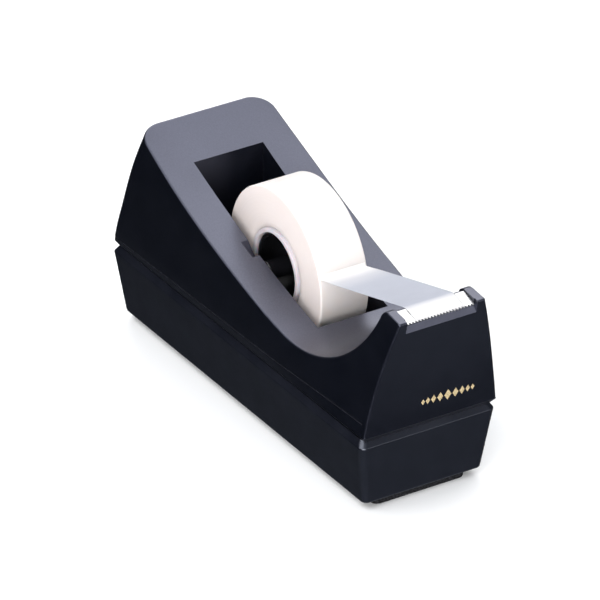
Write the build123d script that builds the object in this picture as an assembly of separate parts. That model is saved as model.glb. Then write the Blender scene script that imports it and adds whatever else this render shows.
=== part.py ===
"""Desktop tape dispenser for 19 mm tape on a 25.4 mm core.

Frame: +X points forward to the cutter, +Y to the left, +Z up. The origin is the centre of the
base on the surface that the dispenser stands on. All sizes are in millimetres.
"""
from build123d import *
from math import acos, asin, copysign, cos, degrees, pi, radians, sin
import os

# ---- tape, core and hub --------------------------------------------------------------------
TAPE_WIDTH = 19.05
ROLL_RADIUS = 29.2
CORE_OUTER_RADIUS = 14.3
CORE_INNER_RADIUS = 12.7
CORE_PROUD = 0.2
CORE_EDGE = 0.3
ROLL_EDGE = 0.6
DISH_WIDTH = 3.4
DISH_DEPTH = 1.2
ROLL_X = -1.0
ROLL_Z = 51.6
TAIL_THICKNESS = 0.15
TAIL_GAP = 0.3
TAIL_REST = 0.02
PEEL_ANGLE = 15.5
PEEL_RADIUS = 1.2
TAIL_SHORT = 0.4

HUB_RADIUS = CORE_INNER_RADIUS - 0.05
HUB_RIM = 1.7
HUB_RECESS = 1.0
HUB_WEB = 1.6
HUB_WEB_DEPTH = 4.8
HUB_BOSS_RADIUS = 3.4
HUB_BOSS_REACH = 13.4
HUB_EDGE = 0.5
HUB_BOSS_EDGE = 0.6
SPIGOT = 1.8
SPIGOT_WALL = 1.1
SPIGOT_RADIUS = HUB_RADIUS - HUB_RIM - 0.05

AXLE_RADIUS = 1.5
AXLE_RUNNING_GAP = 0.06
AXLE_END_GAP = 0.3
AXLE_EDGE = 0.4

# ---- base ----------------------------------------------------------------------------------
PAD_HALF_LENGTH = 75.8
PAD_HALF_WIDTH = 18.4
PAD_THICKNESS = 2.7
PAD_CORNER = 3.0

BASE_HALF_LENGTH = 77.6
BASE_HALF_WIDTH = 23.5
SHOULDER_HALF_LENGTH = 80.5
SHOULDER_HALF_WIDTH = 26.7
SHOULDER_Z = 26.2
CORNER = 2.3
BASE_EDGE = 1.2
SHOULDER_EDGE = 0.5
BASE_WALL = 2.5
BASE_FLOOR = 2.5

GROOVE_DEPTH = 1.56
JOINT_Z = 28.6
HOUSING_Z = 30.7
TONGUE_GAP = 0.15
TONGUE_WALL = 1.2
TONGUE_DROP = 3.0
TONGUE_CORNER = 1.0
RIM = 2.6
PAD_EDGE = 0.4

# ---- upper housing -------------------------------------------------------------------------
WALL = 2.4
REAR_BOTTOM_X = -80.5
REAR_TOP_X = -64.7
REAR_TOP_Z = 80.7
SMALLEST_CORNER = 0.8
TAPER_START_X = 15.0
TAPER_END_X = 78.0
LOFT_TOP_Z = 84.0
FRONT_EDGE = 0.8

# Plan of the housing by height: half width of the straight sides, half width at the front,
# X of the front face, and radius of the rear corners.
PLAN = {
    HOUSING_Z: (26.55, 26.3, 81.2, 2.5),
    34.8: (27.05, 25.8, 81.5, 2.8),
    45.0: (27.2, 24.1, 82.6, 3.7),
    60.0: (27.25, 20.9, 85.0, 5.3),
    75.0: (26.35, 16.8, 87.9, 7.4),
    LOFT_TOP_Z: (25.4, 14.2, 89.7, 8.6),
}

# A shallow crease runs along each long side, rising towards the front.
CREASE_REAR = (-84.0, 32.2)
CREASE_FRONT = (84.0, 35.4)
CREASE_HEIGHT = 0.7
CREASE_DEPTH = 0.22
CREASE_SIDE = 15.0
CREASE_END_X = 79.4

DECK_RADIUS = 452.7
VALLEY_RADIUS = 38.46
VALLEY_X = 40.06
VALLEY_Z = 84.26
VALLEY_START_ANGLE = 13.2
VALLEY_MIDDLE_ANGLE = 20.0
VALLEY_END_ANGLE = 72.0
DECK_END_X = -69.0
OUTSIDE = 95.0
NOSE_TOP_REAR = (80.6, 75.5)
NOSE_TOP_FRONT = (95.0, 73.9)
NOSE_RADIUS = 3.4
NOSE_SOLID_Z = 66.0
DECK_EDGE = 0.7
FLANGE_RISE = 0.8
FLANGE_LAND = 1.0
FLANGE_BEVEL = {0.45: 0.34, 0.15: 0.1}

WELL_REAR_X = -46.5
WELL_FRONT_X = 33.2
WELL_HALF_WIDTH = 13.9
WELL_FLOOR_Z = 20.3
WELL_WALL = 1.8

SLOT_WIDTH = 2 * AXLE_RADIUS + 0.2
SLOT_REACH = 16.7
SLOT_ANGLE = 43.0
SLOT_LENGTH = 30.0
SADDLE_REACH = 18.4
SADDLE_REAR_X = -14.0
SADDLE_FRONT_X = 4.5
SADDLE_Z = 44.0

# ---- cutter --------------------------------------------------------------------------------
BLADE_REAR = (80.0, 75.0)
BLADE_FRONT = (87.0, 73.3)
BLADE_HALF_WIDTH = 13.3
BLADE_THICKNESS = 0.5
BLADE_FLANGE = 3.0
FLANGE_FIT = 0.2
FLANGE_FOOT_GAP = 0.6
BLADE_TEETH = 22
TOOTH_DEPTH = 0.9
SEAT_HALF_WIDTH = 13.45
SEAT_GAP = 0.05
SEAT_LIP = 0.8
LIP_FOOT = (75.5, 72.4)
LEDGE_BACK_X = 86.0
LEDGE_LOW_X = 86.95
LEDGE_LOW_Z = 70.1
LEDGE_HALF_WIDTH = 13.8
FLANGE_HALF_WIDTH = 9.0

# ---- screws and ballast --------------------------------------------------------------------
SCREW_X = (-68.0, 67.0)
SCREW_Y = 14.2
POST_RADIUS = 3.4
POST_TOP_Z = 46.0
POST_BOTTOM_Z = 7.6
SCREW_RADIUS = 1.5
SCREW_FIT = 0.03
SCREW_CLEARANCE = 0.2
SCREW_POINT = 0.7
SCREW_TIP_Z = 20.0
SCREW_HEAD_RADIUS = 2.9
SCREW_HEAD_HEIGHT = 1.7
SCREW_HEAD_EDGE = 0.6
DRIVE_DEPTH = 0.9
DRIVE_LENGTH = 3.2
DRIVE_WIDTH = 0.8
POST_RIB = 1.6
POST_RIB_Z = 38.0
REAR_RIB_REACH = 11.0
FRONT_RIB_REACH = 9.0
SEAT_RADIUS = 5.0
HEAD_SEAT_Z = 4.9

BALLAST_HALF_LENGTH = 73.6
BALLAST_HALF_WIDTH = 19.4
BALLAST_TOP_Z = 25.0
BALLAST_WAIST_Z = 17.6
BALLAST_GAP = 1.2
BALLAST_SLOPE = 2.0
BALLAST_EDGE = 1.0
NOTCH_REACH = 20.0
FLOOR_Z = PAD_THICKNESS + BASE_FLOOR

# How far a cut runs past a face, or a joined piece runs into its neighbour.
OVERRUN = 1.0

os.makedirs("parts", exist_ok=True)


def block(x0, x1, y0, y1, z0, z1):
    """A box given by its two corners."""
    return Pos((x0 + x1) / 2, (y0 + y1) / 2, (z0 + z1) / 2) * Box(x1 - x0, y1 - y0, z1 - z0)


def post(x, y, radius, z0, z1):
    """An upright cylinder."""
    return Pos(x, y, (z0 + z1) / 2) * Cylinder(radius, z1 - z0)


def lathe(radius, y0, y1):
    """A cylinder along Y on the roll's axis."""
    turned = Rot(90, 0, 0) * Cylinder(radius, y1 - y0)
    return Pos(ROLL_X, (y0 + y1) / 2, ROLL_Z) * turned


def rounded(half_x, half_y, z, radius):
    """A rounded rectangle lying at height z."""
    return Pos(0, 0, z) * RectangleRounded(2 * half_x, 2 * half_y, radius)


def side_slab(edges, half_width):
    """A slab symmetric about y = 0, from an outline drawn in the side view as (x, z)."""
    face = Plane.XZ * make_face(edges)
    return extrude(face, half_width, both=True)


# ---- upper housing shape -------------------------------------------------------------------

def plan_section(z, inset):
    """Plan outline of the housing at height z, moved inwards by the inset."""
    rise = (z - HOUSING_Z) / (REAR_TOP_Z - HOUSING_Z)
    rear = REAR_BOTTOM_X + rise * (REAR_TOP_X - REAR_BOTTOM_X) + inset
    side, front_side, front = (size - inset for size in PLAN[z][:3])
    corner = max(PLAN[z][3] - inset, SMALLEST_CORNER)
    third = (TAPER_END_X - TAPER_START_X) / 3
    edges = [Line((rear, corner - side, z), (rear, side - corner, z))]
    for sign in (1, -1):
        start = (rear, sign * (side - corner), z)
        end = (rear + corner, sign * side, z)
        edges.append(RadiusArc(start, end, sign * corner))
        edges.append(Line(end, (TAPER_START_X, sign * side, z)))
        edges.append(Bezier(
            (TAPER_START_X, sign * side, z),
            (TAPER_START_X + third, sign * side, z),
            (TAPER_END_X - third, sign * front_side, z),
            (TAPER_END_X, sign * front_side, z),
        ))
        edges.append(Line((TAPER_END_X, sign * front_side, z), (front, sign * front_side, z)))
    edges.append(Line((front, -front_side, z), (front, front_side, z)))
    return make_face(edges)


def plan_body(inset):
    """The housing before its top is shaped: a loft through the plan outlines."""
    body = loft([plan_section(z, inset) for z in PLAN])
    if inset:
        return body
    upright = [edge for edge in body.edges() if edge.center().X > TAPER_END_X + 1]
    front = [edge for edge in upright if edge.bounding_box().size.Z > LOFT_TOP_Z - HOUSING_Z - 1]
    return fillet(front, FRONT_EDGE)


def on_arc(centre, radius, angle):
    """Point of an arc, with the angle from straight down, positive to the front."""
    turn = radians(angle)
    return (centre[0] + radius * sin(turn), centre[1] - radius * cos(turn))


def deck_centre():
    """Centre of the long deck arc, which is tangent to the valley arc."""
    reach = DECK_RADIUS - VALLEY_RADIUS
    turn = radians(VALLEY_START_ANGLE)
    return (VALLEY_X + reach * sin(turn), VALLEY_Z + reach * cos(turn))


def under_top(depth, bottom_z, half_width, nose_z=None):
    """Everything that lies more than a depth below the top surface, down to the bottom height."""
    valley = (VALLEY_X, VALLEY_Z)
    deck = deck_centre()
    deck_radius = DECK_RADIUS + depth
    valley_radius = VALLEY_RADIUS + depth
    rear_angle = -degrees(asin((deck[0] - DECK_END_X) / deck_radius))
    rear = on_arc(deck, deck_radius, rear_angle)
    middle = on_arc(deck, deck_radius, (rear_angle - VALLEY_START_ANGLE) / 2)
    joint = on_arc(valley, valley_radius, -VALLEY_START_ANGLE)
    low = on_arc(valley, valley_radius, VALLEY_MIDDLE_ANGLE)
    if nose_z is None:
        end = on_arc(valley, valley_radius, VALLEY_END_ANGLE)
        last = NOSE_TOP_FRONT
        nose = [RadiusArc(end, NOSE_TOP_REAR, NOSE_RADIUS), Line(NOSE_TOP_REAR, last)]
    else:
        end = on_arc(valley, valley_radius, degrees(acos((VALLEY_Z - nose_z) / valley_radius)))
        last = (OUTSIDE, nose_z)
        nose = [Line(end, last)]
    edges = [
        Line((-OUTSIDE, bottom_z), (-OUTSIDE, rear[1])),
        Line((-OUTSIDE, rear[1]), rear),
        ThreePointArc(rear, middle, joint),
        ThreePointArc(joint, low, end),
        *nose,
        Line(last, (last[0], bottom_z)),
        Line((last[0], bottom_z), (-OUTSIDE, bottom_z)),
    ]
    return side_slab(edges, half_width)


def shaped_body(inset, bottom_z, nose_z=None):
    """The housing's outer shape for no inset, or its hollow for a wall's inset."""
    return plan_body(inset) & under_top(inset, bottom_z, OUTSIDE, nose_z)


def rounded_top(body):
    """Break the outer edges of the deck, the valley and the nose."""
    tops = [f for f in body.faces() if f.geom_type == GeomType.CYLINDER]
    tops += [f for f in body.faces() if f.geom_type == GeomType.PLANE and f.normal_at().Z > 0.9]
    edges = [edge for face in tops for edge in face.edges()]
    shared = {}
    for edge in edges:
        key = tuple(round(value, 3) for value in edge.center())
        shared.setdefault(key, []).append(edge)
    outline = [same[0] for same in shared.values() if len(same) == 1]
    return fillet(outline, DECK_EDGE)


def side_creases():
    """The two shallow creases, following the curve of the long sides."""
    outline = Polyline(
        CREASE_REAR, CREASE_FRONT, (CREASE_FRONT[0], CREASE_FRONT[1] + CREASE_HEIGHT),
        (CREASE_REAR[0], CREASE_REAR[1] + CREASE_HEIGHT), close=True,
    )
    strip = side_slab(outline.edges(), OUTSIDE)
    strip -= Box(4 * OUTSIDE, 2 * CREASE_SIDE, 4 * OUTSIDE)
    strip &= block(-CREASE_END_X, CREASE_END_X, -OUTSIDE, OUTSIDE, 0, LOFT_TOP_Z)
    return strip - plan_body(CREASE_DEPTH)


def joint_flange():
    """The housing's bottom flange, bevelled outside, with a tongue that drops into the base."""
    steps = {HOUSING_Z - JOINT_Z: GROOVE_DEPTH, **FLANGE_BEVEL, 0.0: 0.0}
    bevel = [Pos(0, 0, -drop) * plan_section(HOUSING_Z, inset) for drop, inset in steps.items()]
    skirt = loft(bevel, ruled=True)
    skirt += extrude(plan_section(HOUSING_Z, FLANGE_LAND), FLANGE_RISE)
    outer = [half - TONGUE_GAP for half in base_inner_half(JOINT_Z - TONGUE_DROP)]
    tongue = extrude(rounded(*outer, JOINT_Z - TONGUE_DROP, CORNER), TONGUE_DROP + OVERRUN)
    inner = [half - TONGUE_WALL for half in outer]
    hole = extrude(rounded(*inner, JOINT_Z - TONGUE_DROP, TONGUE_CORNER), HOUSING_Z)
    return skirt + tongue - hole


def well_box(wall, floor_z):
    """The roll's well as a block, grown by a wall."""
    half = WELL_HALF_WIDTH + wall
    return block(WELL_REAR_X - wall, WELL_FRONT_X + wall, -half, half, floor_z, LOFT_TOP_Z)


def slot_path():
    """The slanted track of the axle: two blind slots, one in each side of the well."""
    back = Rot(0, SLOT_ANGLE, 0) * Pos(-SLOT_LENGTH / 2, 0, 0)
    track = back * Box(SLOT_LENGTH, 2 * SLOT_REACH, SLOT_WIDTH)
    seat = Rot(90, 0, 0) * Cylinder(SLOT_WIDTH / 2, 2 * SLOT_REACH)
    return Pos(ROLL_X, 0, ROLL_Z) * (track + seat)


def screw_places():
    """Where the four screws stand."""
    return [(x, side * SCREW_Y) for x in SCREW_X for side in (-1, 1)]


def screw_posts():
    """The four screw posts, each tied to the side wall by a rib."""
    posts = []
    for x, y in screw_places():
        posts.append(post(x, y, POST_RADIUS, POST_BOTTOM_Z, POST_TOP_Z))
        reach = REAR_RIB_REACH if x < 0 else FRONT_RIB_REACH
        near, far = sorted((y, y + (reach if y > 0 else -reach)))
        posts.append(block(x - POST_RIB / 2, x + POST_RIB / 2, near, far, POST_RIB_Z, POST_TOP_Z))
    return posts


def blade_line(x, drop=0.0):
    """Height of the blade's top plane at x, lowered by a drop."""
    slope = (BLADE_FRONT[1] - BLADE_REAR[1]) / (BLADE_FRONT[0] - BLADE_REAR[0])
    return BLADE_REAR[1] + slope * (x - BLADE_REAR[0]) - drop


def blade_seat():
    """What is cut from the nose: the blade's seat, the slot for its flange and the ledge."""
    drop = BLADE_THICKNESS + SEAT_GAP
    lip = BLADE_REAR[0] - SEAT_LIP
    seat = Polyline(
        (LIP_FOOT[0], LOFT_TOP_Z), LIP_FOOT, (lip, blade_line(lip, drop)),
        (OUTSIDE, blade_line(OUTSIDE, drop)), (OUTSIDE, LOFT_TOP_Z), close=True,
    )
    ledge = Polyline(
        (LEDGE_BACK_X, LOFT_TOP_Z), (LEDGE_BACK_X, blade_line(LEDGE_BACK_X, drop)),
        (LEDGE_LOW_X, LEDGE_LOW_Z), (OUTSIDE, LEDGE_LOW_Z), (OUTSIDE, LOFT_TOP_Z), close=True,
    )
    x = BLADE_REAR[0]
    half = FLANGE_HALF_WIDTH + FLANGE_FIT
    foot = BLADE_REAR[1] - BLADE_FLANGE - FLANGE_FOOT_GAP
    flange = block(x - SEAT_GAP, x + BLADE_THICKNESS + FLANGE_FIT, -half, half, foot, LOFT_TOP_Z)
    cut = side_slab(seat.edges(), SEAT_HALF_WIDTH)
    return cut + side_slab(ledge.edges(), LEDGE_HALF_WIDTH) + flange


def upper_housing():
    """The moulded upper shell with its deck, well, axle slots, screw posts and nose."""
    shell = rounded_top(shaped_body(0, HOUSING_Z))
    shell -= shaped_body(WALL, HOUSING_Z, NOSE_SOLID_Z)
    well = well_box(WELL_WALL, WELL_FLOOR_Z - WELL_WALL)
    saddles = block(SADDLE_REAR_X, SADDLE_FRONT_X, -SADDLE_REACH, SADDLE_REACH, SADDLE_Z, LOFT_TOP_Z)
    inside = (well + saddles) & under_top(OVERRUN, FLOOR_Z, OUTSIDE, NOSE_SOLID_Z)
    shell = shell + joint_flange() + inside + screw_posts()
    shell -= well_box(0, WELL_FLOOR_Z)
    shell -= slot_path()
    shell -= side_creases()
    shell -= blade_seat()
    for x, y in screw_places():
        shell -= post(x, y, SCREW_RADIUS + SCREW_FIT, 0, SCREW_TIP_Z + OVERRUN)
    return shell


# ---- base ----------------------------------------------------------------------------------

def base_inner_half(z):
    """Half length and half width of the base's inside at height z."""
    rise = (z - FLOOR_Z) / (JOINT_Z - FLOOR_Z)
    low = (BASE_HALF_LENGTH - BASE_WALL, BASE_HALF_WIDTH - BASE_WALL)
    high = (SHOULDER_HALF_LENGTH - GROOVE_DEPTH - RIM, SHOULDER_HALF_WIDTH - GROOVE_DEPTH - RIM)
    return tuple(a + rise * (b - a) for a, b in zip(low, high))


def base_tray():
    """The tapered lower shell, with a floor and four screw seats."""
    foot = rounded(BASE_HALF_LENGTH, BASE_HALF_WIDTH, PAD_THICKNESS, CORNER)
    shoulder = rounded(SHOULDER_HALF_LENGTH, SHOULDER_HALF_WIDTH, SHOULDER_Z, CORNER)
    rim = rounded(SHOULDER_HALF_LENGTH - GROOVE_DEPTH, SHOULDER_HALF_WIDTH - GROOVE_DEPTH,
                  JOINT_Z, CORNER)
    tray = loft([foot, shoulder], ruled=True)
    tray = fillet(tray.faces().sort_by(Axis.Z)[0].edges(), BASE_EDGE)
    tray += loft([shoulder, rim], ruled=True)
    bend = [edge for edge in tray.edges() if abs(edge.center().Z - SHOULDER_Z) < 0.01]
    tray = fillet(bend, SHOULDER_EDGE)
    inside = [rounded(*base_inner_half(z), z, CORNER) for z in (FLOOR_Z, JOINT_Z)]
    tray -= loft(inside, ruled=True)
    for x, y in screw_places():
        tray += post(x, y, SEAT_RADIUS, FLOOR_Z - OVERRUN, POST_BOTTOM_Z)
        tray -= post(x, y, SCREW_RADIUS + SCREW_CLEARANCE, 0, POST_BOTTOM_Z + OVERRUN)
        tray -= post(x, y, SCREW_HEAD_RADIUS + SCREW_CLEARANCE, 0, HEAD_SEAT_Z)
    return tray


def ballast_block():
    """The cast weight: low under the well, full height at both ends, clear of the posts."""
    rear = WELL_REAR_X - WELL_WALL - BALLAST_GAP
    front = WELL_FRONT_X + WELL_WALL + BALLAST_GAP
    end = BALLAST_HALF_LENGTH
    outline = Polyline(
        (-end, FLOOR_Z), (-end, BALLAST_TOP_Z), (rear - BALLAST_SLOPE, BALLAST_TOP_Z),
        (rear, BALLAST_WAIST_Z), (front, BALLAST_WAIST_Z), (front + BALLAST_SLOPE, BALLAST_TOP_Z),
        (end, BALLAST_TOP_Z), (end, FLOOR_Z), close=True,
    )
    weight = side_slab(outline.edges(), BALLAST_HALF_WIDTH)
    weight = chamfer(weight.edges().filter_by(Axis.Y).group_by(Axis.Z)[-1], BALLAST_EDGE)
    for x, y in screw_places():
        notch = Box(2 * NOTCH_REACH, 2 * NOTCH_REACH, 2 * LOFT_TOP_Z)
        offset = NOTCH_REACH - SEAT_RADIUS - BALLAST_GAP / 2
        outward = Pos(copysign(offset, x), copysign(offset, y), 0)
        weight -= Pos(x, y, 0) * outward * notch
    return weight


def non_slip_pad():
    """The foam sheet stuck under the base."""
    sheet = extrude(rounded(PAD_HALF_LENGTH, PAD_HALF_WIDTH, 0, PAD_CORNER), PAD_THICKNESS)
    return fillet(sheet.edges().group_by(Axis.Z)[0], PAD_EDGE)


def housing_screws():
    """Four pan-head screws that hold the base to the housing, as separate solids."""
    screws = []
    for x, y in screw_places():
        head = post(x, y, SCREW_HEAD_RADIUS, HEAD_SEAT_Z - SCREW_HEAD_HEIGHT, HEAD_SEAT_Z)
        head = fillet(head.edges().sort_by(Axis.Z)[0], SCREW_HEAD_EDGE)
        for turn in (0, 90):
            bar = Rot(0, 0, turn) * Box(DRIVE_LENGTH, DRIVE_WIDTH, 2 * DRIVE_DEPTH)
            head -= Pos(x, y, HEAD_SEAT_Z - SCREW_HEAD_HEIGHT) * bar
        shank = post(x, y, SCREW_RADIUS, HEAD_SEAT_Z, SCREW_TIP_Z)
        shank = chamfer(shank.edges().sort_by(Axis.Z)[-1], SCREW_POINT)
        screws.append(head + shank)
    return Compound(screws)


# ---- cutter --------------------------------------------------------------------------------

def cutter_blade():
    """The stamped steel blade: a sloping sheet with a saw edge and a flange bent down behind."""
    run = BLADE_FRONT[0] - BLADE_REAR[0]
    fall = BLADE_REAR[1] - BLADE_FRONT[1]
    length = (run ** 2 + fall ** 2) ** 0.5
    top = Plane(origin=(BLADE_REAR[0], 0, BLADE_REAR[1]), x_dir=(run, 0, -fall), z_dir=(fall, 0, run))
    pitch = 2 * BLADE_HALF_WIDTH / BLADE_TEETH
    saw = []
    for tooth in range(BLADE_TEETH):
        start = BLADE_HALF_WIDTH - tooth * pitch
        saw += [(length - TOOTH_DEPTH, start), (length, start - pitch / 2)]
    saw.append((length - TOOTH_DEPTH, -BLADE_HALF_WIDTH))
    outline = Polyline((0, -BLADE_HALF_WIDTH), (0, BLADE_HALF_WIDTH), *saw, close=True)
    sheet = extrude(top * make_face(outline.edges()), -BLADE_THICKNESS)
    x = BLADE_REAR[0]
    flange = block(x, x + BLADE_THICKNESS, -FLANGE_HALF_WIDTH, FLANGE_HALF_WIDTH,
                   BLADE_REAR[1] - BLADE_FLANGE, BLADE_REAR[1] - BLADE_THICKNESS / 2)
    return sheet + flange


# ---- hub, roll and tape --------------------------------------------------------------------

def hub_half(side):
    """One half of the hub: rim, recessed web and boss; side is 1 for left and -1 for right."""
    end = TAPE_WIDTH / 2 + CORE_PROUD - HUB_RECESS
    web = end - HUB_WEB_DEPTH
    middle_of_rim = HUB_RADIUS - HUB_RIM / 2
    solid = lathe(HUB_RADIUS, 0, end) - lathe(HUB_RADIUS - HUB_RIM, -OVERRUN, end + OVERRUN)
    solid = chamfer(solid.edges().group_by(Axis.Y)[-1], HUB_EDGE)
    solid += lathe(middle_of_rim, web - HUB_WEB, web)
    boss = lathe(HUB_BOSS_RADIUS, 0, HUB_BOSS_REACH)
    solid += fillet(boss.edges().group_by(Axis.Y)[-1], HUB_BOSS_EDGE)
    if side > 0:
        spigot = lathe(SPIGOT_RADIUS, -SPIGOT, 0) + lathe(middle_of_rim, 0, SPIGOT)
        solid += spigot - lathe(SPIGOT_RADIUS - SPIGOT_WALL, -SPIGOT - OVERRUN, SPIGOT + OVERRUN)
    solid -= lathe(AXLE_RADIUS + AXLE_RUNNING_GAP, -OVERRUN, HUB_BOSS_REACH + OVERRUN)
    return solid if side > 0 else mirror(solid, Plane.XZ)


def hub_axle():
    """The plain pin that the hub turns on; its ends sit in the two slots."""
    half = SLOT_REACH - AXLE_END_GAP
    pin = lathe(AXLE_RADIUS, -half, half)
    return chamfer(pin.edges().filter_by(GeomType.CIRCLE), AXLE_EDGE)


def tape_core():
    """The plastic core, a little wider than the tape wound on it."""
    end = TAPE_WIDTH / 2 + CORE_PROUD
    tube = lathe(CORE_OUTER_RADIUS, -end, end)
    tube -= lathe(CORE_INNER_RADIUS, -end - OVERRUN, end + OVERRUN)
    rims = tube.edges().filter_by(GeomType.CIRCLE)
    return fillet(rims, CORE_EDGE)


def tape_roll():
    """The wound tape: its outer edges are rounded and its sides fall off towards the core."""
    side = TAPE_WIDTH / 2
    dish_radius = (DISH_WIDTH ** 2 + DISH_DEPTH ** 2) / (2 * DISH_DEPTH)
    dish_turn = degrees(asin(DISH_WIDTH / dish_radius))
    brow = CORE_OUTER_RADIUS + DISH_WIDTH
    outline = [
        Line((CORE_OUTER_RADIUS, 0), (CORE_OUTER_RADIUS, side - DISH_DEPTH)),
        CenterArc((brow, side - dish_radius), dish_radius, 90, dish_turn),
        Line((brow, side), (ROLL_RADIUS - ROLL_EDGE, side)),
        CenterArc((ROLL_RADIUS - ROLL_EDGE, side - ROLL_EDGE), ROLL_EDGE, 0, 90),
        Line((ROLL_RADIUS, side - ROLL_EDGE), (ROLL_RADIUS, 0)),
        Line((ROLL_RADIUS, 0), (CORE_OUTER_RADIUS, 0)),
    ]
    left = revolve(make_face(outline), Axis.Y)
    return Pos(ROLL_X, 0, ROLL_Z) * (left + mirror(left, Plane.XZ))


def tape_tail():
    """The loose end: it peels off the roll's front, runs to the cutter and lies on it."""
    angle = radians(PEEL_ANGLE)
    reach = ROLL_RADIUS + TAIL_GAP + TAIL_THICKNESS / 2 + PEEL_RADIUS
    centre = (ROLL_X + reach * cos(angle), ROLL_Z + reach * sin(angle))
    lift = TAIL_THICKNESS / 2 + TAIL_REST
    rest = (BLADE_REAR[0], BLADE_REAR[1] + lift + TAIL_REST)
    away = Vector(rest[0] - centre[0], rest[1] - centre[1])
    bend = degrees(asin(PEEL_RADIUS / away.length))
    heading = away.get_angle(Vector(1, 0)) + bend
    leave = radians(heading - 90)
    start = radians(PEEL_ANGLE + 180)
    halfway = (start + leave + 2 * pi) / 2
    points = [(centre[0] + PEEL_RADIUS * cos(a), centre[1] + PEEL_RADIUS * sin(a))
              for a in (start, halfway, leave)]
    tip_x = BLADE_FRONT[0] - TOOTH_DEPTH - TAIL_SHORT
    tip = (tip_x, blade_line(tip_x) + lift)
    path = [ThreePointArc(*points), Line(points[2], rest), Line(rest, tip)]
    face = Plane.XZ * trace(path, TAIL_THICKNESS)
    return extrude(face, TAPE_WIDTH / 2, both=True)


def main():
    nodes = {
        "upper_housing": upper_housing(),
        "base_tray": base_tray(),
        "ballast_block": ballast_block(),
        "non_slip_pad": non_slip_pad(),
        "housing_screws": housing_screws(),
        "cutter_blade": cutter_blade(),
        "hub_axle": hub_axle(),
        "hub_left_half": hub_half(1),
        "hub_right_half": hub_half(-1),
        "tape_core": tape_core(),
        "tape_roll": tape_roll(),
        "tape_tail": tape_tail(),
    }
    for name, shape in nodes.items():
        export_step(shape, f"parts/{name}.step")


main()
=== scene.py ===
"""Looks for the desktop tape dispenser: materials, the tape's loose end, the gold print, light
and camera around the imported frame. Metres; +X is forward to the cutter, +Z up.
"""

from math import asin, atan2, cos, pi, radians, sin

import bmesh
import bpy
from mathutils import Matrix, Vector
from mathutils.bvhtree import BVHTree


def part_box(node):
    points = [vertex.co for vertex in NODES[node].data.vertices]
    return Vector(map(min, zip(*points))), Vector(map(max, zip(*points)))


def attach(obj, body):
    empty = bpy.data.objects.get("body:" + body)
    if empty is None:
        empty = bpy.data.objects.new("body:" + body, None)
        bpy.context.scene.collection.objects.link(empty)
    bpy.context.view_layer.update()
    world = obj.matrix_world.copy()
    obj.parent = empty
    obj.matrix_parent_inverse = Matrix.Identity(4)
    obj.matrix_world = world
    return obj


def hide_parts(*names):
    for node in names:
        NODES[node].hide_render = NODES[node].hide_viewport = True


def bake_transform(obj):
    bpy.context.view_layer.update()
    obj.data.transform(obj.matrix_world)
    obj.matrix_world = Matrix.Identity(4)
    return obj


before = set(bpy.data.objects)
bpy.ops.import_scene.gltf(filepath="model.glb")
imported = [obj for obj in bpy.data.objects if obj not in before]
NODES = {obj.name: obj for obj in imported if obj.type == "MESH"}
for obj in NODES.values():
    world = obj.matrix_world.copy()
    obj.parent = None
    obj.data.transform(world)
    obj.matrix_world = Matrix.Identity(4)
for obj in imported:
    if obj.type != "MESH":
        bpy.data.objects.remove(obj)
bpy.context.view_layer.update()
MM = 0.001

# ---- camera: a long lens, far off, above the front right corner -----------------------------
CAMERA_TARGET = Vector((0.0, 0.0, 35.0)) * MM
CAMERA_BACK = Vector((0.7360, -0.4638, 0.4932))
CAMERA_RIGHT = Vector((0.5316, 0.8470, 0.0032))
CAMERA_DISTANCE = 2.5
CAMERA_SHIFT = (0.13 * MM, 1.69 * MM)
CAMERA_LENS = 441.2
CAMERA_SENSOR = 36.0
CAMERA_REACH = 10.0

# ---- light: softboxes by direction from the object, in a grey room that is dark at eye level -
AIM = Vector((0.0, 0.0, 0.045))
SOFTBOXES = {
    "overhead": dict(towards=(-0.42, 0.46, 0.78), distance=1.1, size=(1.40, 1.00), radiance=2.3),
    "rear": dict(towards=(-0.70, 0.46, 0.56), distance=1.2, size=(0.80, 0.30), radiance=1.4),
    "near_top": dict(towards=(0.10, -0.62, 0.78), distance=1.2, size=(1.20, 0.80), radiance=3.7),
    "side_fill": dict(towards=(0.66, -0.66, 0.34), distance=1.2, size=(0.80, 0.60), radiance=3.4),
    "front_fill": dict(towards=(0.90, 0.46, 0.10), distance=1.2, size=(0.50, 0.28), radiance=3.8),
    "front_soft": dict(towards=(0.88, -0.42, 0.06), distance=1.2, size=(1.00, 0.80), radiance=7.5),
}
ROOM_BY_HEIGHT = {
    -1.0: 0.36, -0.75: 0.23, -0.60: 0.05, -0.50: 0.008,
    0.05: 0.01, 0.55: 0.05, 0.85: 0.70, 1.0: 1.60,
}
ROOM_TINT = (0.84, 0.91, 1.0)
FLOOR_REACH = 6.0

# ---- the tape's loose end: thickness, bends and cut edge --------------------------------------
FILM = 0.08 * MM
PEEL_ANGLE = radians(18.5)
PEEL_BEND = 0.6 * MM
PEEL_STEPS = 12
BURIED_TURN = radians(3.0)
BURIED_DEPTH = 2 * FILM
WRAP_STEPS = 12
HANGING_STEPS = 14
OVER_BLADE = 0.35 * MM
ON_BLADE = 0.05 * MM
ON_BLADE_STEPS = 4
EDGE_EASE = 2.0 * MM
EDGE_STEPS = 6
TOOTH_DEPTH = 0.85 * MM
TIP_BACK = 1.0 * MM
BLADE_TEETH = 22
CUPPING = 0.3 * MM
WRAP_NARROWING = 0.045
NARROW_SHARE = 1 / 8

# ---- painted light and shade on the film: how far it stays painted white, then pale, after the roll; where it is painted pale on the cutter -
PAINTED_WHITE_RUN = 8 * MM
PAINTED_PALE_RUN = 16 * MM
PAINTED_BLADE_FADE = (-1.5 * MM, 1.0 * MM)

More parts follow.
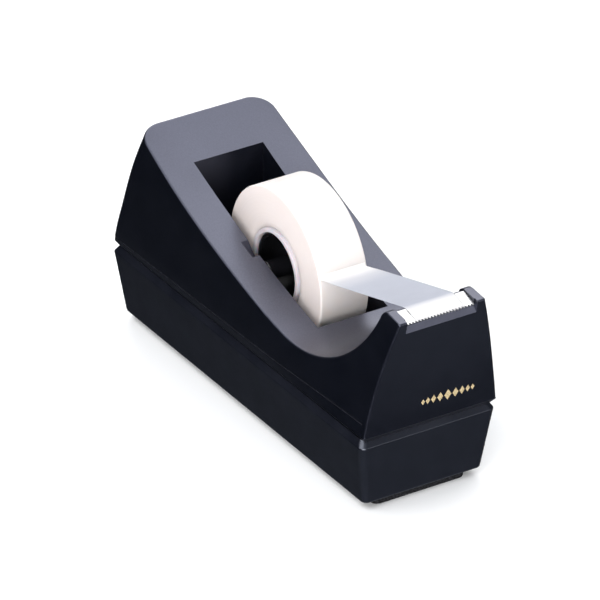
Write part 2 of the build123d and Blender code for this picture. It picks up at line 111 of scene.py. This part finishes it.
# ---- the gold print, in metres from the housing's middle line and the ground -----------------
PRINT_MIDDLE = (6.4 * MM, 38.5 * MM)
PRINT_HALF_WIDTH = 10.7 * MM
PRINT_HALF_HEIGHT = 2.1 * MM
PRINT_SIDE_LOZENGES = 4
PRINT_SHRINK = 0.86
PRINT_FILL = 0.84
PRINT_THICKNESS = 0.05 * MM
PRINT_TOP_SCALE = 0.75
PRINT_TOP_RISE = 1.6 * PRINT_THICKNESS

# ---- wear on the moulded plastic; painted light on what faces up, painted shade on the roll's sides - ---
EDGE_LIKENESS = (0.80, 0.995)
RUBBED_EDGE = 0.5 * MM
RUBBED_GLOSS = 0.8
WORN_BLUE = 1.15
# painted light: how much bluer the upward faces are painted lighter, and from which facing
PAINTED_TOP_BLUE = 1.25
PAINTED_TOP_FACING = (0.80, 0.97)
# painted shade: how far a face must turn sideways to take the roll's darker, warmer side colour
ROLL_SHADED_SIDE_FACING = (0.2, 0.9)


# ---- node helpers ---------------------------------------------------------------------------

class Recipe:
    """A material's node tree with a Principled shader, built up by short calls."""

    def __init__(self, name, **sockets):
        self.material = bpy.data.materials.new(name)
        self.material.use_nodes = True
        self.tree = self.material.node_tree
        self.shader = self.tree.nodes["Principled BSDF"]
        for socket, value in sockets.items():
            self.shader.inputs[socket.replace("_", " ")].default_value = value
        self.place = self.add("ShaderNodeTexCoord").outputs["Object"]

    def add(self, kind, **inputs):
        """A new node with its inputs fed; an underscore stands for a space in an input's name."""
        node = self.tree.nodes.new(kind)
        for name, value in inputs.items():
            self.feed(node, name.replace("_", " "), value)
        return node

    def feed(self, node, name, value):
        """Link a socket to an input, or set the input to a plain value."""
        socket = node.inputs[name]
        if isinstance(value, bpy.types.NodeSocket):
            self.tree.links.new(value, socket)
        else:
            socket.default_value = value

    def vector(self, operation, *values):
        """Vector maths; a length or a dot product comes out as a number."""
        node = self.add("ShaderNodeVectorMath")
        node.operation = operation
        for place, value in enumerate(values):
            self.feed(node, place, value)
        scalar = operation in ("LENGTH", "DOT_PRODUCT")
        return node.outputs["Value" if scalar else "Vector"]

    def multiply(self, a, b):
        node = self.add("ShaderNodeMath")
        node.operation = "MULTIPLY"
        self.feed(node, 0, a)
        self.feed(node, 1, b)
        return node.outputs["Value"]

    def span(self, value, start, end):
        """0 at the start value, 1 at the end value and clamped outside."""
        node = self.add("ShaderNodeMapRange", Value=value, **{"From Min": start, "From Max": end})
        return node.outputs["Result"]

    def along(self, axis):
        """The place's coordinate along one axis, in metres."""
        split = self.add("ShaderNodeSeparateXYZ", Vector=self.place)
        return split.outputs[axis]

    def facing(self, axis):
        """The share of the surface's normal that lies along one of the room's axes."""
        normal = self.add("ShaderNodeNewGeometry").outputs["Normal"]
        split = self.add("ShaderNodeSeparateXYZ", Vector=normal)
        return split.outputs[axis]

    def mix(self, factor, low, high):
        node = self.add("ShaderNodeMixRGB", Fac=factor, Color1=low, Color2=high)
        return node.outputs["Color"]

    def edges(self, width):
        """1 where the surface turns a corner within that many metres, 0 on the flats."""
        bevel = self.add("ShaderNodeBevel", Radius=width)
        bevel.samples = 4
        normal = self.add("ShaderNodeNewGeometry").outputs["Normal"]
        likeness = self.vector("DOT_PRODUCT", bevel.outputs["Normal"], normal)
        return self.ramp(likeness, 1.0, 0.0, *EDGE_LIKENESS)

    def noise(self, size, detail=2.0, roughness=0.5):
        """Noise with features about that many metres across."""
        node = self.add("ShaderNodeTexNoise", Vector=self.place, Scale=1.0 / size,
                        Detail=detail, Roughness=roughness)
        return node.outputs["Fac"]

    def ramp(self, factor, low, high, start=0.35, end=0.65):
        """Two colours or greys mixed by a factor."""
        node = self.add("ShaderNodeValToRGB", Fac=factor)
        for element, position, value in zip(node.color_ramp.elements, (start, end), (low, high)):
            element.position = position
            element.color = (*value, 1.0) if isinstance(value, tuple) else (value, value, value, 1.0)
        return node.outputs["Color"]

    def colour(self, socket):
        self.feed(self.shader, "Base Color", socket)

    def rough(self, socket):
        self.feed(self.shader, "Roughness", socket)

    def bump(self, height, depth, strength=1.0):
        """Bump from a height socket; depth is in metres."""
        node = self.add("ShaderNodeBump", Height=height, Distance=depth, Strength=strength)
        self.feed(self.shader, "Normal", node.outputs["Normal"])


def dress(name, recipe):
    """Give a CAD node its material."""
    slots = NODES[name].data.materials
    slots.clear()
    slots.append(recipe.material)


# ---- materials ------------------------------------------------------------------------------

def grey(level, blue=1.0):
    """A grey with its blue raised, as a colour with alpha."""
    return (level, level, level * blue, 1.0)


def moulded_plastic(name, dark, light, rough, grain_size, grain_depth, worn, painted_top_level=0.0, **sockets):
    """Black moulded plastic: fine grain, rubbed edges and, where asked, a speckled lighter grey painted on
    what faces up as light from the overhead lamps.
    """
    recipe = Recipe(name, IOR=1.5, **sockets)
    tone = recipe.ramp(recipe.noise(9 * MM, 4.0), dark, light)
    if painted_top_level:
        # Painted light: faces that look up are painted a speckled lighter grey, standing for the overhead
        # lamps' sheen.
        specks = recipe.ramp(recipe.noise(0.5 * MM, 4.0, 0.7), 0.5, 1.0)
        painted_top_mask = recipe.multiply(recipe.span(recipe.facing("Z"), *PAINTED_TOP_FACING), specks)
        tone = recipe.mix(painted_top_mask, tone, grey(painted_top_level, PAINTED_TOP_BLUE))
    rubbed = recipe.multiply(recipe.edges(RUBBED_EDGE), recipe.noise(3 * MM, 4.0, 0.7))
    recipe.colour(recipe.mix(rubbed, tone, grey(worn, WORN_BLUE)))
    matt = recipe.ramp(recipe.noise(14 * MM, 5.0, 0.65), rough[0], rough[1])
    recipe.rough(recipe.mix(rubbed, matt, grey(rough[0] * RUBBED_GLOSS)))
    recipe.bump(recipe.noise(grain_size, 3.0, 0.6), grain_depth, 0.6)
    return recipe


def foam():
    """Black rubber foam with open cells."""
    recipe = Recipe("pad_foam", Specular_IOR_Level=0.2)
    cells = recipe.add("ShaderNodeTexVoronoi", Vector=recipe.place, Scale=1 / (0.7 * MM))
    recipe.colour(recipe.ramp(cells.outputs["Distance"], (0.004, 0.004, 0.005), (0.016, 0.016, 0.019)))
    recipe.rough(recipe.ramp(recipe.noise(3 * MM), 0.85, 0.98))
    recipe.bump(cells.outputs["Distance"], 0.12 * MM)
    return recipe


def cast_cement():
    """Grey cement with coarse sand in it."""
    recipe = Recipe("cast_cement")
    sand = recipe.noise(0.9 * MM, 4.0, 0.7)
    recipe.colour(recipe.ramp(sand, (0.30, 0.28, 0.25), (0.52, 0.50, 0.46)))
    recipe.rough(recipe.ramp(recipe.noise(5 * MM), 0.8, 0.95))
    recipe.bump(sand, 0.2 * MM)
    return recipe


def steel(name, low, high, rough, streak):
    """Metal with fine parallel drawing lines along one axis."""
    recipe = Recipe(name, Metallic=1.0)
    stretch = recipe.add("ShaderNodeMapping", Vector=recipe.place, Scale=streak)
    lines = recipe.add("ShaderNodeTexNoise", Vector=stretch.outputs["Vector"], Scale=1 / (0.25 * MM),
                       Detail=3.0)
    recipe.colour(recipe.ramp(recipe.noise(6 * MM), low, high))
    recipe.rough(recipe.ramp(lines.outputs["Fac"], rough[0], rough[1]))
    recipe.bump(lines.outputs["Fac"], 0.01 * MM, 0.5)
    return recipe


def wound_tape():
    """The roll: pale film, faintly drawn with the edges of the turns; its side faces are painted darker and
    warmer, as painted shade.
    """
    recipe = Recipe("wound_tape", Subsurface_Weight=0.6, Subsurface_Scale=3.0 * MM, IOR=1.45,
                    Specular_IOR_Level=0.3)
    recipe.feed(recipe.shader, "Subsurface Radius", (1.0, 0.88, 0.78))
    from_axis = recipe.vector("SUBTRACT", recipe.place, roll_centre())
    radius = recipe.vector("LENGTH", recipe.vector("MULTIPLY", from_axis, (1, 0, 1)))
    turns = recipe.add("ShaderNodeTexNoise", Scale=1 / (0.35 * MM), Detail=4.0)
    turns.noise_dimensions = "1D"
    recipe.feed(turns, "W", radius)
    tread = recipe.ramp(turns.outputs["Fac"], (0.695, 0.650, 0.630), (0.715, 0.670, 0.650), 0.3, 0.7)
    # Painted shade: the side faces get a darker, warmer copy of the tread's colour.
    side = recipe.ramp(turns.outputs["Fac"], (0.625, 0.560, 0.540), (0.650, 0.585, 0.565), 0.3, 0.7)
    sideways = recipe.facing("Y")
    painted_side_shade = recipe.span(recipe.multiply(sideways, sideways), *ROLL_SHADED_SIDE_FACING)
    recipe.colour(recipe.mix(painted_side_shade, tread, side))
    recipe.rough(recipe.ramp(recipe.noise(8 * MM), 0.58, 0.72))
    recipe.bump(turns.outputs["Fac"], 0.02 * MM, 0.4)
    return recipe


def core_plastic():
    """The core ring: slightly translucent white plastic."""
    recipe = Recipe("core_plastic", Subsurface_Weight=0.3, Subsurface_Scale=1.0 * MM)
    recipe.colour(recipe.ramp(recipe.noise(4 * MM), (0.50, 0.465, 0.495), (0.56, 0.520, 0.550)))
    recipe.rough(recipe.ramp(recipe.noise(3 * MM), 0.35, 0.55))
    recipe.bump(recipe.noise(0.3 * MM), 0.01 * MM)
    return recipe


def frosted_film():
    """The loose end, its colour painted light and shade by place: white by the roll, darker and cool where
    it hangs free, pale on the cutter.
    """
    recipe = Recipe("frosted_film", IOR=1.45, Specular_IOR_Level=0.12, Transmission_Weight=0.2)
    x = recipe.along("X")
    roll_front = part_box("tape_roll")[1][0]
    blade_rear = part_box("cutter_blade")[0][0]
    # Painted light and shade: the white lifts the shade in the bend off the roll, the darker cool tone
    # stands for the dark plastic seen through the free film, the pale for the bright cutter under it.
    free = recipe.ramp(recipe.noise(7 * MM, 3.0), (0.490, 0.505, 0.570), (0.505, 0.520, 0.585))
    pale = recipe.ramp(recipe.noise(5 * MM, 3.0), (0.68, 0.67, 0.68), (0.72, 0.71, 0.72))
    white = recipe.ramp(recipe.noise(5 * MM, 3.0), (0.93, 0.90, 0.88), (0.96, 0.93, 0.91))
    painted_white_share = recipe.span(x, roll_front, roll_front + PAINTED_WHITE_RUN)
    painted_shade_share = recipe.span(x, roll_front, roll_front + PAINTED_PALE_RUN)
    painted_blade_pale_share = recipe.span(x, blade_rear + PAINTED_BLADE_FADE[0], blade_rear + PAINTED_BLADE_FADE[1])
    hanging = recipe.mix(painted_shade_share, recipe.mix(painted_white_share, white, pale), free)
    recipe.colour(recipe.mix(painted_blade_pale_share, hanging, pale))
    recipe.rough(recipe.ramp(recipe.noise(5 * MM), 0.55, 0.65))
    recipe.bump(recipe.noise(0.15 * MM), 0.003 * MM)
    return recipe


def gold_print():
    """Gold foil, hot-stamped and a little uneven."""
    recipe = Recipe("gold_print", Metallic=0.6)
    recipe.colour(recipe.ramp(recipe.noise(0.5 * MM), (0.66, 0.50, 0.27), (0.80, 0.66, 0.40)))
    recipe.rough(recipe.ramp(recipe.noise(0.3 * MM), 0.4, 0.6))
    recipe.bump(recipe.noise(0.12 * MM), 0.004 * MM)
    return recipe


def dress_nodes():
    """Every CAD node that is shown as it is gets its material."""
    # The housing's upward faces are painted lighter, as light from the overhead lamps.
    dress("upper_housing", moulded_plastic(
        "housing_plastic", (0.0016, 0.0022, 0.0045), (0.0026, 0.0033, 0.0060), (0.28, 0.35),
        0.22 * MM, 0.01 * MM, worn=0.012, painted_top_level=0.045,
        Specular_Tint=(0.73, 0.755, 1.0, 1.0), Specular_IOR_Level=0.90))
    dress("base_tray", moulded_plastic(
        "base_plastic", (0.0030, 0.0037, 0.0070), (0.0044, 0.0052, 0.0092), (0.30, 0.38),
        0.25 * MM, 0.015 * MM, worn=0.016,
        Specular_Tint=(0.80, 0.84, 1.0, 1.0), Specular_IOR_Level=0.80))
    hub = moulded_plastic(
        "hub_plastic", (0.0030, 0.0030, 0.0040), (0.0050, 0.0050, 0.0060), (0.16, 0.24),
        0.5 * MM, 0.003 * MM, worn=0.010)
    for name in ("hub_left_half", "hub_right_half"):
        dress(name, hub)
    dress("non_slip_pad", foam())
    dress("ballast_block", cast_cement())
    dress("housing_screws", steel("screw_steel", (0.5, 0.5, 0.5), (0.6, 0.6, 0.6), (0.25, 0.4), (1, 1, 0.1)))
    dress("hub_axle", steel("axle_steel", (0.5, 0.5, 0.5), (0.6, 0.6, 0.6), (0.2, 0.35), (1, 0.1, 1)))
    dress("cutter_blade", steel(
        "blade_steel", (0.50, 0.495, 0.49), (0.58, 0.57, 0.565), (0.22, 0.36), (1, 0.05, 1)))
    dress("tape_roll", wound_tape())
    dress("tape_core", core_plastic())


# ---- pieces modelled here --------------------------------------------------------------------

def roll_centre():
    """The middle of the tape roll, on its axis."""
    low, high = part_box("tape_roll")
    return (Vector(low) + Vector(high)) / 2


def surface_of(node):
    """A CAD node's surface, for finding points on it."""
    mesh = bmesh.new()
    mesh.from_mesh(NODES[node].data)
    tree = BVHTree.FromBMesh(mesh)
    mesh.free()
    return tree


def new_piece(name, mesh, recipe):
    """Turn a bmesh into an object that has a material."""
    data = bpy.data.meshes.new(name)
    bmesh.ops.recalc_face_normals(mesh, faces=mesh.faces)
    mesh.to_mesh(data)
    mesh.free()
    piece = bpy.data.objects.new(name, data)
    bpy.context.scene.collection.objects.link(piece)
    data.materials.append(recipe.material)
    return piece


def arc(centre, radius, start, end, steps):
    """Points of an arc in the side view, as (x, z)."""
    turns = [start + (end - start) * step / steps for step in range(steps + 1)]
    return [Vector((centre.x + radius * cos(turn), centre.y + radius * sin(turn))) for turn in turns]


def between(a, b, steps):
    """Points from a to b, both left out."""
    return [a.lerp(b, step / steps) for step in range(1, steps)]


def eased_corner(before, corner, after, steps):
    """A smooth bend from before to after, drawn towards the corner."""
    points = []
    for step in range(steps + 1):
        t = step / steps
        points.append((1 - t) ** 2 * before + 2 * t * (1 - t) * corner + t ** 2 * after)
    return points


def tail_path():
    """The film's line in the side view: off the roll, across to the cutter and along its top."""
    low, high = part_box("tape_roll")
    roll = Vector((low[0] + high[0], low[2] + high[2])) / 2
    roll_radius = (high[0] - low[0]) / 2
    blade_low, blade_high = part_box("cutter_blade")
    blade = surface_of("cutter_blade")
    above = blade_high[2] + PEEL_BEND
    corner = Vector((blade_low[0], blade_high[2] + OVER_BLADE))
    tip_x = blade_high[0] - TIP_BACK
    hit = blade.ray_cast(Vector((tip_x, 0, above)), Vector((0, 0, -1)))[0]
    tip = Vector((tip_x, hit.z + ON_BLADE))

    reach = roll_radius + FILM / 2 + PEEL_BEND
    out = Vector((cos(PEEL_ANGLE), sin(PEEL_ANGLE)))
    bend = roll + reach * out
    away = corner - bend
    leave = atan2(away.y, away.x) + asin(PEEL_BEND / away.length) - pi / 2
    wrap = []
    for step in range(WRAP_STEPS):
        buried = 1 - step / WRAP_STEPS
        turn = PEEL_ANGLE + BURIED_TURN * buried
        radius = roll_radius + FILM / 2 - BURIED_DEPTH * buried
        wrap.append(roll + radius * Vector((cos(turn), sin(turn))))
    peel = arc(bend, PEEL_BEND, PEEL_ANGLE + pi, leave + 2 * pi, PEEL_STEPS)
    before = corner + EDGE_EASE * (peel[-1] - corner).normalized()
    after = corner + EDGE_EASE * (tip - corner).normalized()
    hanging = between(peel[-1], before, HANGING_STEPS)
    over = eased_corner(before, corner, after, EDGE_STEPS)
    return [*wrap, *peel, *hanging, *over, *between(after, tip, ON_BLADE_STEPS), tip]


def film_columns(half):
    """Places across the film as (y, tooth): its edges, and the roots and tips of the cutter's teeth."""
    blade_low, blade_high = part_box("cutter_blade")
    step = (blade_high[1] - blade_low[1]) / (2 * BLADE_TEETH)
    count = int(half / step)
    inner = [(column * step, column % 2) for column in range(-count, count + 1)]
    return [(-half, 0.5), *inner, (half, 0.5)]


def film_rows(mesh, path, half, lift):
    """One face of the film: a row of vertices at each point of its path, drawn in at the roll."""
    first_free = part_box("tape_roll")[1][0] + PEEL_BEND
    blade_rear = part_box("cutter_blade")[0][0]
    last = len(path) - 1
    rows = []
    for index, point in enumerate(path):
        along = (path[min(index + 1, last)] - path[max(index - 1, 0)]).normalized()
        normal = Vector((-along.y, along.x))
        span = min(max((point.x - first_free) / (blade_rear - first_free), 0.0), 1.0)
        narrow = 1 - WRAP_NARROWING * max(0.0, 1 - span / NARROW_SHARE)
        row = []
        for y, tooth in film_columns(half):
            cup = CUPPING * sin(pi * span) * ((y / half) ** 2 - 1)
            reach = TOOTH_DEPTH * tooth if index == last else 0.0
            place = point + (lift + cup) * normal + reach * along
            row.append(mesh.verts.new((place.x, y * narrow, place.y)))
        rows.append(row)
    return rows


def tape_tail():
    """The loose end of the tape, cut off along the cutter's teeth."""
    path = tail_path()
    roll_low, roll_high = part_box("tape_roll")
    half = (roll_high[1] - roll_low[1]) / 2
    mesh = bmesh.new()
    top = film_rows(mesh, path, half, FILM / 2)
    bottom = film_rows(mesh, path, half, -FILM / 2)
    close_sheet(mesh, top, bottom)
    tail = new_piece("tape_tail_film", mesh, frosted_film())
    for face in tail.data.polygons:
        face.use_smooth = True
    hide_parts("tape_tail")
    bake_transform(tail)


def close_sheet(mesh, top, bottom):
    """Faces over two matching grids of points and round their edges."""
    last_row = len(top) - 1
    last_column = len(top[0]) - 1
    for rows in (top, bottom):
        for a, b in zip(rows, rows[1:]):
            for column in range(last_column):
                mesh.faces.new((a[column], a[column + 1], b[column + 1], b[column]))
    for row in (0, last_row):
        for column in range(last_column):
            mesh.faces.new((top[row][column], top[row][column + 1],
                            bottom[row][column + 1], bottom[row][column]))
    for column in (0, last_column):
        for row in range(last_row):
            mesh.faces.new((top[row][column], top[row + 1][column],
                            bottom[row + 1][column], bottom[row][column]))


def gold_ornament():
    """A row of lozenges printed on the front face, largest in the middle."""
    front = surface_of("upper_housing")
    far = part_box("upper_housing")[1][0] + 10 * MM
    sizes = [PRINT_SHRINK ** step for step in range(PRINT_SIDE_LOZENGES + 1)]
    pitch = PRINT_HALF_WIDTH / (sum(sizes) - sizes[0] / 2)
    mesh = bmesh.new()
    for side in (-1, 1):
        offset = 0.0
        for step, size in enumerate(sizes):
            if step:
                offset += pitch * (size + sizes[step - 1]) / 2
            if step or side > 0:
                middle = (PRINT_MIDDLE[0] + side * offset, PRINT_MIDDLE[1])
                half_width = PRINT_FILL / 2 * pitch * size
                add_lozenge(mesh, front, far, middle, half_width, PRINT_HALF_HEIGHT * size)
    ornament = new_piece("gold_ornament", mesh, gold_print())
    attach(ornament, "dispenser")


def add_lozenge(mesh, surface, far, middle, half_width, half_height):
    """One lozenge lying on a surface that faces +X, with a rim and a raised middle."""
    outline = ((1, 0), (0, 1), (-1, 0), (0, -1))
    levels = ((1.0, -PRINT_THICKNESS), (1.0, PRINT_THICKNESS), (PRINT_TOP_SCALE, PRINT_TOP_RISE))
    rings = []
    for scale, lift in levels:
        ring = []
        for across, up in outline:
            y = middle[0] + scale * half_width * across
            z = middle[1] + scale * half_height * up
            hit = surface.ray_cast(Vector((far, y, z)), Vector((-1, 0, 0)))[0]
            ring.append(mesh.verts.new((hit.x + lift, y, z)))
        rings.append(ring)
    for a, b in zip(rings, rings[1:]):
        for corner in range(4):
            after = (corner + 1) % 4
            mesh.faces.new((a[corner], a[after], b[after], b[corner]))
    mesh.faces.new(rings[-1])
    mesh.faces.new(reversed(rings[0]))


# ---- stage ----------------------------------------------------------------------------------

def look_along(back, right):
    """A camera's rotation from its back and right directions."""
    back = back.normalized()
    right = (right - right.dot(back) * back).normalized()
    up = back.cross(right)
    return Matrix((right, up, back)).transposed()


def add_camera():
    data = bpy.data.cameras.new("camera")
    data.lens = CAMERA_LENS
    data.sensor_width = CAMERA_SENSOR
    data.clip_end = CAMERA_REACH
    camera = bpy.data.objects.new("camera", data)
    turn = look_along(CAMERA_BACK, CAMERA_RIGHT)
    place = CAMERA_TARGET + turn @ Vector((-CAMERA_SHIFT[0], CAMERA_SHIFT[1], CAMERA_DISTANCE))
    camera.matrix_world = Matrix.Translation(place) @ turn.to_4x4()
    bpy.context.scene.collection.objects.link(camera)
    bpy.context.scene.camera = camera


def add_softbox(name, towards, distance, size, radiance):
    """A white rectangular lamp that faces the object from a direction."""
    data = bpy.data.lights.new(name, "AREA")
    data.shape = "RECTANGLE"
    data.size, data.size_y = size
    data.energy = radiance * pi * size[0] * size[1]
    lamp = bpy.data.objects.new(name, data)
    back = Vector(towards).normalized()
    turn = back.to_track_quat("Z", "Y").to_matrix()
    lamp.matrix_world = Matrix.Translation(AIM + distance * back) @ turn.to_4x4()
    bpy.context.scene.collection.objects.link(lamp)


def add_floor():
    """A plain pale floor, left out of mirror reflections."""
    mesh = bpy.data.meshes.new("floor")
    corners = [(FLOOR_REACH * x, FLOOR_REACH * y, 0) for x, y in ((-1, -1), (1, -1), (1, 1), (-1, 1))]
    mesh.from_pydata(corners, [], [(0, 1, 2, 3)])
    floor = bpy.data.objects.new("floor", mesh)
    recipe = Recipe("floor", Specular_IOR_Level=0.1, Roughness=0.9)
    recipe.colour(recipe.ramp(recipe.noise(0.5), (0.93, 0.93, 0.93), (0.94, 0.94, 0.94)))
    mesh.materials.append(recipe.material)
    bpy.context.scene.collection.objects.link(floor)
    floor.visible_glossy = False


def add_world():
    """A room whose brightness depends on height only."""
    world = bpy.data.worlds.new("studio")
    world.use_nodes = True
    tree = world.node_tree
    place = tree.nodes.new("ShaderNodeTexCoord")
    split = tree.nodes.new("ShaderNodeSeparateXYZ")
    shift = tree.nodes.new("ShaderNodeMapRange")
    shift.inputs["From Min"].default_value = -1.0
    ramp = tree.nodes.new("ShaderNodeValToRGB")
    elements = ramp.color_ramp.elements
    for height, level in ROOM_BY_HEIGHT.items():
        element = elements.new((height + 1) / 2)
        element.color = (*(level * tint for tint in ROOM_TINT), 1.0)
    elements.remove(elements[0])
    elements.remove(elements[-1])
    tree.links.new(place.outputs["Generated"], split.inputs["Vector"])
    tree.links.new(split.outputs["Z"], shift.inputs["Value"])
    tree.links.new(shift.outputs["Result"], ramp.inputs["Fac"])
    tree.links.new(ramp.outputs["Color"], tree.nodes["Background"].inputs["Color"])
    bpy.context.scene.world = world


def main():
    add_camera()
    add_world()
    add_floor()
    for name, settings in SOFTBOXES.items():
        add_softbox(name, **settings)
    dress_nodes()
    tape_tail()
    gold_ornament()
    bpy.context.scene.view_settings.view_transform = "Standard"


main()
